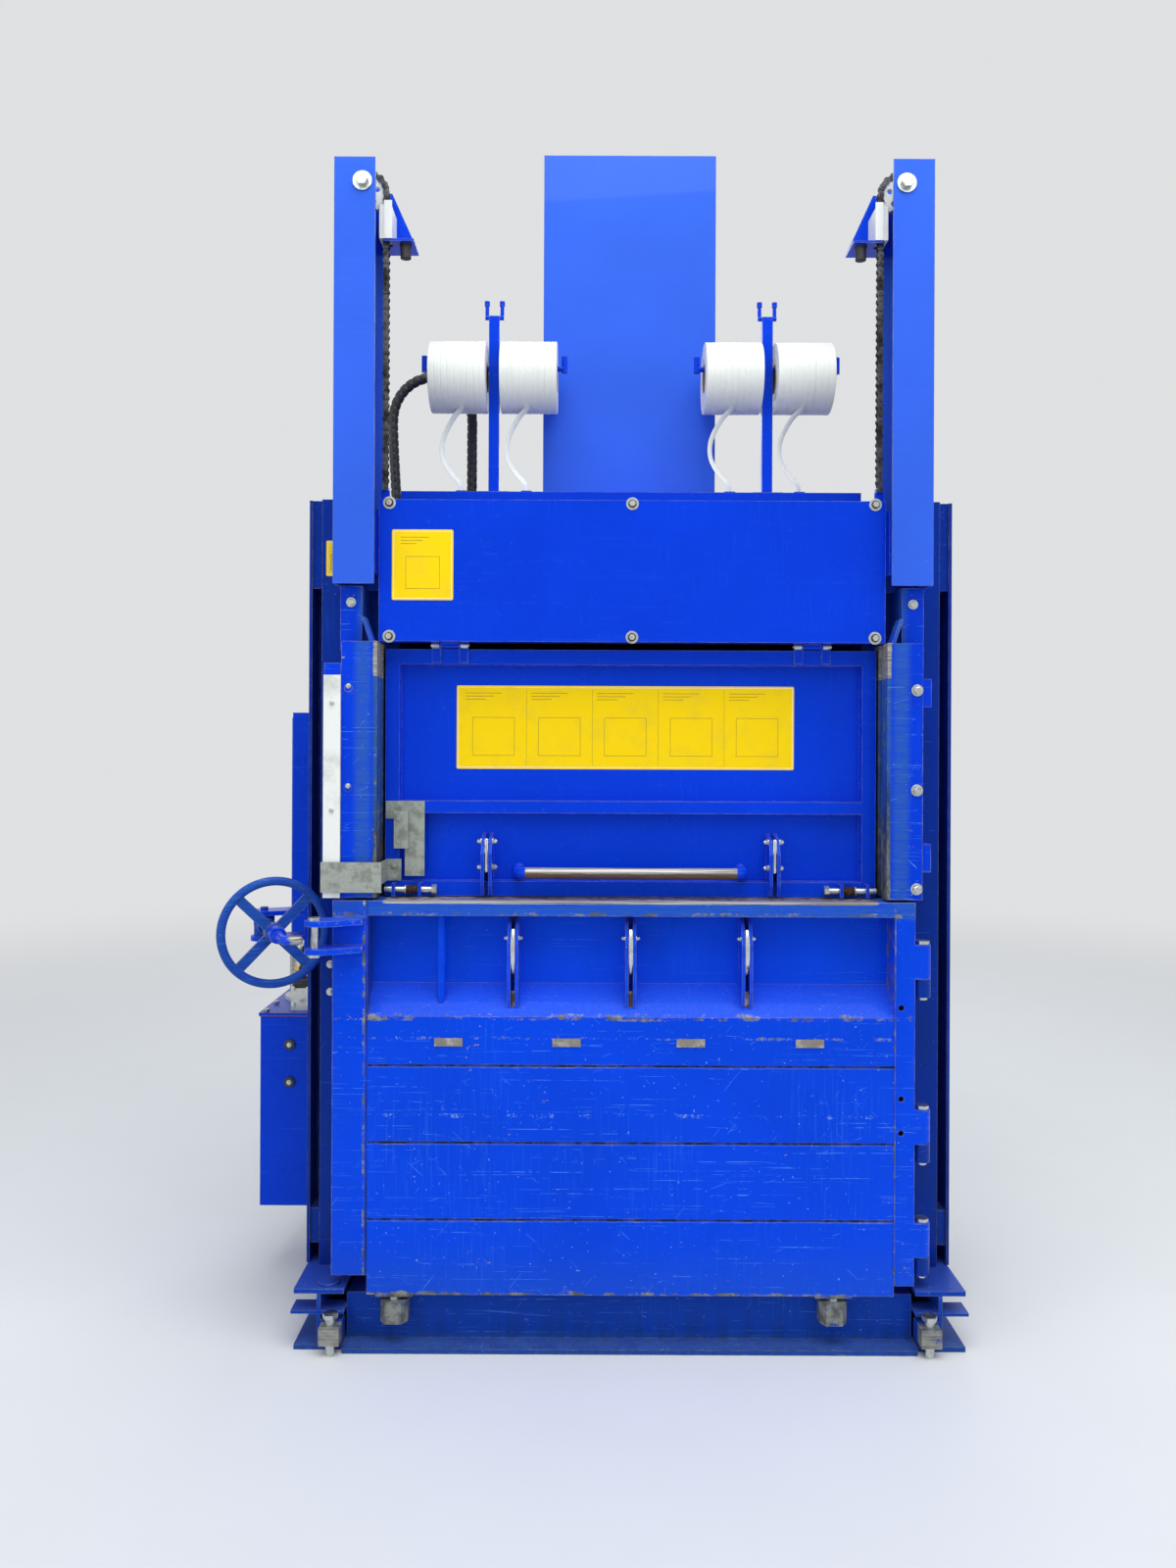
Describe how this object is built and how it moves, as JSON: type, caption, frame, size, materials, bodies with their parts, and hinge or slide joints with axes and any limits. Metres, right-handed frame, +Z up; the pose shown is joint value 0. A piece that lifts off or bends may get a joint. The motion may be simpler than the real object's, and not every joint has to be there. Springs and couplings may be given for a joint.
{
  "type": "recycling baler",
  "caption": "Upright baling press with a lifting loading door, a side-hung bale door with screw lock, a cylinder cover and a strap store on top.",
  "frame": {"origin": "on the floor below the middle of the press chamber", "axes": "+X to the right as seen from the front, -Y towards the front, +Z up"},
  "size_m": [1.866, 1.0663, 3.12],
  "materials": {
    "blue_paint": "gloss, chipped along the edges",
    "blue_cover_paint": "smooth satin gloss",
    "worn_door_paint": "gloss, scratched and chipped",
    "base_paint": "dull and dirty",
    "zinc": "zinc plated",
    "zinc_plate": "passivated sheet",
    "bare_steel": "worn bare steel",
    "chain_steel": "oiled",
    "rod_chrome": "polished",
    "white_plastic": "matt",
    "strap_white": "woven polyester strap",
    "black_rubber": "matt",
    "pump_aluminium": "cast"
  },
  "bodies": {
    "frame": {"base_frame": "base_paint", "chamber_floor": "bare_steel", "left_side_wall": "blue_paint", "right_side_wall": "blue_paint", "rear_wall": "blue_paint", "head_beams": "blue_paint", "left_guide_column": "blue_paint", "right_guide_column": "blue_paint", "left_upper_post": "blue_paint", "right_upper_post": "blue_paint", "left_bumper_bracket": "blue_paint", "right_bumper_bracket": "blue_paint", "rubber_bumpers": "black_rubber", "chain_guides": "white_plastic", "pulley_axles": "zinc", "left_lift_chain": "chain_steel", "right_lift_chain": "chain_steel", "cylinder_cover": "blue_cover_paint", "cylinder_barrel": "blue_paint", "left_strap_stand": "blue_paint", "right_strap_stand": "blue_paint", "strap_end_1": "strap_white", "strap_end_2": "strap_white", "strap_end_3": "strap_white", "strap_end_4": "strap_white", "hydraulic_hose": "black_rubber", "oil_tank": "blue_paint", "tank_lid": "blue_paint", "pump_block": "pump_aluminium", "pressure_pipe": "zinc", "control_cabinet": "blue_paint", "lock_bracket": "blue_paint", "bale_hinge_pins": "zinc", "adjusting_screws": "zinc", "glide_strip": "white_plastic"},
    "loading_door": {"header_panel": "blue_paint", "header_bolts": "zinc"},
    "flap": {"loading_flap": "blue_paint", "flap_handle": "bare_steel", "latch_plate": "zinc_plate", "slide_plate": "zinc_plate"},
    "left_bolt": {"left_spring_bolt": "zinc"},
    "right_bolt": {"right_spring_bolt": "zinc"},
    "left_weight": {"left_counterweight": "bare_steel"},
    "right_weight": {"right_counterweight": "bare_steel"},
    "left_sprocket": {"left_pulley": "white_plastic"},
    "right_sprocket": {"right_pulley": "white_plastic"},
    "press": {"piston_rod": "rod_chrome", "press_plate": "bare_steel"},
    "bale_door": {"bale_door": "worn_door_paint", "strap_clamps": "zinc", "lock_pin": "zinc"},
    "lock_arm": {"lock_trunnion": "base_paint"},
    "lock_screw": {"lock_hook": "bare_steel"},
    "handwheel": {"lock_handwheel": "blue_paint", "lock_spindle": "bare_steel"},
    "roll_1": {"strap_roll_1": "strap_white"},
    "roll_2": {"strap_roll_2": "strap_white"},
    "roll_3": {"strap_roll_3": "strap_white"},
    "roll_4": {"strap_roll_4": "strap_white"}
  },
  "joints": [
    {"name": "loading_door_slide", "type": "slide", "parent": "frame", "child": "loading_door", "axis": [0, 0, 1], "range_m": [0, 0.61], "deforming": ["left_lift_chain", "right_lift_chain"]},
    {"name": "left_weight_slide", "type": "slide", "parent": "frame", "child": "left_weight", "axis": [0, 0, 1], "range_m": [-0.61, 0]},
    {"name": "right_weight_slide", "type": "slide", "parent": "frame", "child": "right_weight", "axis": [0, 0, 1], "range_m": [-0.61, 0]},
    {"name": "left_sprocket_turn", "type": "hinge", "parent": "frame", "child": "left_sprocket", "pos_m": [-0.672, -0.42, 2.89], "axis": [0, 1, 0], "range_deg": [-720, 720]},
    {"name": "right_sprocket_turn", "type": "hinge", "parent": "frame", "child": "right_sprocket", "pos_m": [0.672, -0.42, 2.89], "axis": [0, 1, 0], "range_deg": [-720, 720]},
    {"name": "flap_hinge", "type": "hinge", "parent": "loading_door", "child": "flap", "pos_m": [0, -0.39, 1.752], "axis": [1, 0, 0], "range_deg": [-80, 0]},
    {"name": "left_bolt_slide", "type": "slide", "parent": "flap", "child": "left_bolt", "axis": [-1, 0, 0], "range_m": [0, 0.022]},
    {"name": "right_bolt_slide", "type": "slide", "parent": "flap", "child": "right_bolt", "axis": [1, 0, 0], "range_m": [0, 0.022]},
    {"name": "press_stroke", "type": "slide", "parent": "frame", "child": "press", "axis": [0, 0, -1], "range_m": [0, 0.9]},
    {"name": "bale_door_hinge", "type": "hinge", "parent": "frame", "child": "bale_door", "pos_m": [0.728, -0.455, 0], "axis": [0, 0, 1], "range_deg": [0, 120]},
    {"name": "lock_swing", "type": "hinge", "parent": "frame", "child": "lock_arm", "pos_m": [-0.95, -0.328, 1.028], "axis": [0, 0, 1], "range_deg": [-35, 12]},
    {"name": "lock_screw_travel", "type": "slide", "parent": "lock_arm", "child": "lock_screw", "axis": [0.4206, -0.9073, 0], "range_m": [0, 0.03]},
    {"name": "handwheel_spin", "type": "hinge", "parent": "lock_screw", "child": "handwheel", "pos_m": [-0.95, -0.328, 1.028], "axis": [0.4206, -0.9073, 0], "range_deg": [0, 1350]},
    {"name": "roll_1_spin", "type": "hinge", "parent": "frame", "child": "roll_1", "pos_m": [-0.455, -0.262, 2.4753], "axis": [1, 0, 0], "continuous": true},
    {"name": "roll_2_spin", "type": "hinge", "parent": "frame", "child": "roll_2", "pos_m": [-0.269, -0.262, 2.4753], "axis": [1, 0, 0], "continuous": true},
    {"name": "roll_3_spin", "type": "hinge", "parent": "frame", "child": "roll_3", "pos_m": [0.269, -0.262, 2.4753], "axis": [1, 0, 0], "continuous": true},
    {"name": "roll_4_spin", "type": "hinge", "parent": "frame", "child": "roll_4", "pos_m": [0.455, -0.262, 2.4753], "axis": [1, 0, 0], "continuous": true}
  ],
  "couplings": [
    {"joint": "left_weight_slide", "follows": "loading_door_slide", "ratio": -1},
    {"joint": "right_weight_slide", "follows": "loading_door_slide", "ratio": -1},
    {"joint": "left_sprocket_turn", "follows": "loading_door_slide", "rad_per_m": -20.492},
    {"joint": "right_sprocket_turn", "follows": "loading_door_slide", "rad_per_m": 20.492},
    {"joint": "lock_screw_travel", "follows": "handwheel_spin", "m_per_rad": 0.001273}
  ]
}
